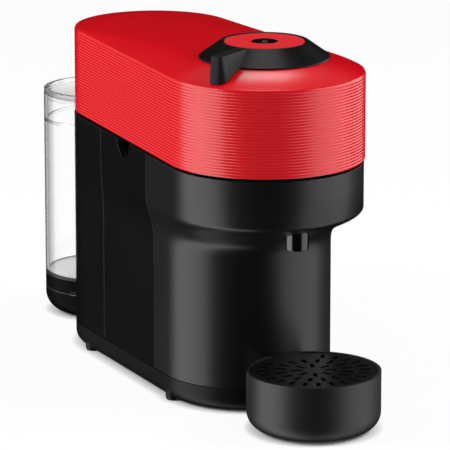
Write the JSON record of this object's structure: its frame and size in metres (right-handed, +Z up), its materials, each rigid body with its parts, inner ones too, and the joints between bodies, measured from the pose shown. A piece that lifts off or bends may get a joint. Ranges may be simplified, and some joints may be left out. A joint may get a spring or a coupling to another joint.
{
  "type": "pod coffee machine",
  "caption": "Compact pod coffee machine: red ribbed lift-up head with lock dial over a black coved body, clear rear water tank, pull-out pod drawer and round cup support.",
  "frame": {"origin": "on the table under the middle of the whole machine's box", "axes": "+Z up; -Y towards the cup support at the front; +Y towards the water tank at the back; +X to the right seen from the front"},
  "size_m": [0.136, 0.426, 0.25],
  "materials": {
    "red_shell": "semi-gloss moulded red, ribbed round the wall",
    "black_shell": "fine satin-matte black moulding",
    "black_satin": "satin black moulding",
    "dark_frame": "glass-filled dark grey moulding",
    "black_rubber": "matte black rubber",
    "belt_rubber": "flat drive belt rubber",
    "hose_silicone": "translucent white silicone",
    "clear_plastic": "clear moulded plastic",
    "pale_plastic": "pale grey moulding",
    "steel": "bright turned steel",
    "motor_can": "plated steel can",
    "cast_aluminium": "die-cast aluminium",
    "board_green": "solder-masked circuit board"
  },
  "bodies": {
    "base": {"base_plate": "black_shell", "rubber_feet": "black_rubber", "tank_dock": "black_shell", "dock_seal": "black_rubber", "rear_shell": "black_shell", "left_panel": "black_shell", "right_panel": "black_shell", "top_cover": "black_shell", "chassis": "dark_frame", "brew_chamber": "dark_frame", "holder_bearing": "steel", "hinge_pin": "steel", "pump": "motor_can", "pump_cradle": "black_rubber", "thermoblock": "cast_aluminium", "control_board": "board_green", "suction_hose": "hose_silicone", "pressure_hose": "hose_silicone", "hot_hose": "hose_silicone", "cord_gland": "black_shell", "base_screws": "steel"},
    "capsule_holder": {"capsule_holder": "dark_frame"},
    "head": {"head_cap": "red_shell", "head_frame": "dark_frame", "spindle_bearing": "steel", "drive_motor": "motor_can", "drive_belt": "belt_rubber", "button_bracket": "dark_frame", "button_switch": "dark_frame", "dial_disc": "red_shell", "head_screws": "steel"},
    "lock_dial": {"lock_dial": "black_satin", "lock_lever": "black_satin", "lock_collar": "dark_frame"},
    "brew_button": {"brew_button": "black_satin"},
    "spindle": {"clamp_flange": "dark_frame", "injection_needle": "steel", "spindle_pulley": "steel"},
    "motor_rotor": {"motor_rotor": "steel"},
    "drawer": {"front_housing": "black_shell", "capsule_bin": "dark_frame", "coffee_outlet": "black_satin"},
    "cup_support": {"drip_tray": "black_shell"},
    "drip_grid": {"drip_grid": "black_satin"},
    "water_tank": {"tank_vessel": "clear_plastic", "tank_base": "black_shell", "tank_floor": "pale_plastic"},
    "tank_valve": {"tank_valve": "black_satin"},
    "tank_lid": {"tank_lid": "clear_plastic"}
  },
  "joints": [
    {"name": "head_hinge", "type": "hinge", "parent": "base", "child": "head", "pos_m": [0, 0.12, 0.19], "axis": [-1, 0, 0], "range_deg": [0, 35]},
    {"name": "lock_turn", "type": "hinge", "parent": "head", "child": "lock_dial", "pos_m": [0, -0.0947, 0.24], "axis": [0, 0, 1], "range_deg": [0, 60]},
    {"name": "button_press", "type": "slide", "parent": "head", "child": "brew_button", "axis": [0, 0, -1], "range_m": [0, 0.0012], "stiffness_N_per_m": 600},
    {"name": "spindle_spin", "type": "hinge", "parent": "head", "child": "spindle", "pos_m": [0, -0.0947, 0.18], "axis": [0, 0, 1], "continuous": true},
    {"name": "motor_spin", "type": "hinge", "parent": "head", "child": "motor_rotor", "pos_m": [0, -0.022, 0.2], "axis": [0, 0, 1], "continuous": true},
    {"name": "holder_spin", "type": "hinge", "parent": "base", "child": "capsule_holder", "pos_m": [0, -0.0947, 0.13], "axis": [0, 0, 1], "continuous": true},
    {"name": "drawer_slide", "type": "slide", "parent": "base", "child": "drawer", "axis": [0, -1, 0], "range_m": [0, 0.15]},
    {"name": "cup_support_slide", "type": "slide", "parent": "drawer", "child": "cup_support", "axis": [0, -1, 0], "range_m": [0, 0.035]},
    {"name": "grid_lift", "type": "slide", "parent": "cup_support", "child": "drip_grid", "axis": [0, 0, 1], "range_m": [0, 0.02]},
    {"name": "tank_lift", "type": "slide", "parent": "base", "child": "water_tank", "axis": [0, 0, 1], "range_m": [0, 0.22]},
    {"name": "tank_lid_lift", "type": "slide", "parent": "water_tank", "child": "tank_lid", "axis": [0, 0, 1], "range_m": [0, 0.015]},
    {"name": "valve_drop", "type": "slide", "parent": "water_tank", "child": "tank_valve", "axis": [0, 0, 1], "range_m": [-0.004, 0]}
  ],
  "couplings": [
    {"joint": "motor_spin", "follows": "spindle_spin", "ratio": 1.5},
    {"joint": "holder_spin", "follows": "spindle_spin", "ratio": 1},
    {"joint": "valve_drop", "follows": "tank_lift", "ratio": -0.018}
  ]
}
